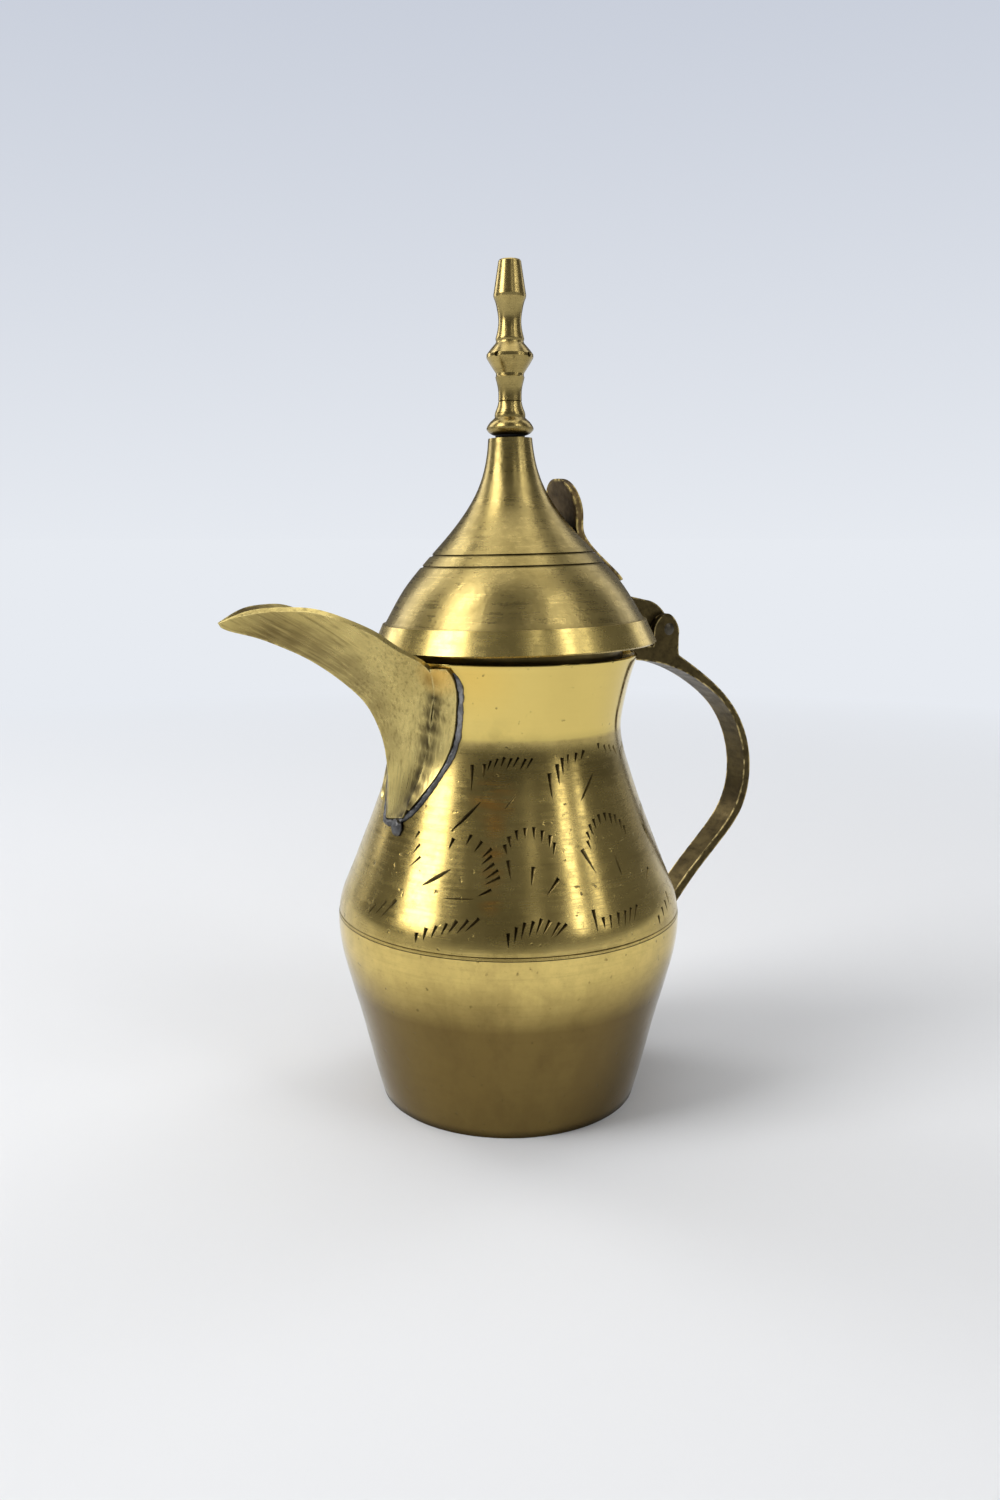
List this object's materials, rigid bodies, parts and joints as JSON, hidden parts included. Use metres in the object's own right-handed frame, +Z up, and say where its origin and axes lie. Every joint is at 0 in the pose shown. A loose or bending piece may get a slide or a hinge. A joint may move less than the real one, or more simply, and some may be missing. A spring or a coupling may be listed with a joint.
{
  "type": "dallah coffee pot",
  "caption": "Small brass dallah coffee pot with a waisted body, crescent sheet spout, strap handle and a hinged conical lid with a turned finial.",
  "frame": {"origin": "centre of the base on the pot's axis, in the plane the foot edge stands on", "axes": "+Z up along the pot's axis, +X towards the handle, -X towards the spout"},
  "size_m": [0.1022, 0.059, 0.14],
  "materials": {
    "body_brass": "polished, aged",
    "sheet_brass": "filed",
    "cast_brass": "dark aged casting",
    "pin_brass": "peened",
    "lid_brass": "brushed, aged",
    "band_brass": "polished",
    "turned_brass": "turned bright",
    "solder": "dull lead-tin solder"
  },
  "bodies": {
    "pot": {"body_upper": "body_brass", "body_lower": "body_brass", "base_plate": "body_brass", "spout_cheek_left": "sheet_brass", "spout_cheek_right": "sheet_brass", "spout_solder": "solder", "handle": "cast_brass", "hinge_pin": "pin_brass", "handle_solder_top": "solder", "handle_solder_foot": "solder", "keel_solder": "solder"},
    "lid": {"lid_dome": "lid_brass", "lid_band": "band_brass", "lid_collar": "lid_brass", "finial": "turned_brass", "finial_solder": "solder", "hinge_leaf": "cast_brass", "thumb_tab": "cast_brass", "hinge_leaf_solder": "solder", "thumb_tab_solder": "solder"}
  },
  "joints": [
    {"name": "lid_hinge", "type": "hinge", "parent": "pot", "child": "lid", "pos_m": [0.0319, 0, 0.0798], "axis": [0, 1, 0], "range_deg": [0, 140]}
  ]
}
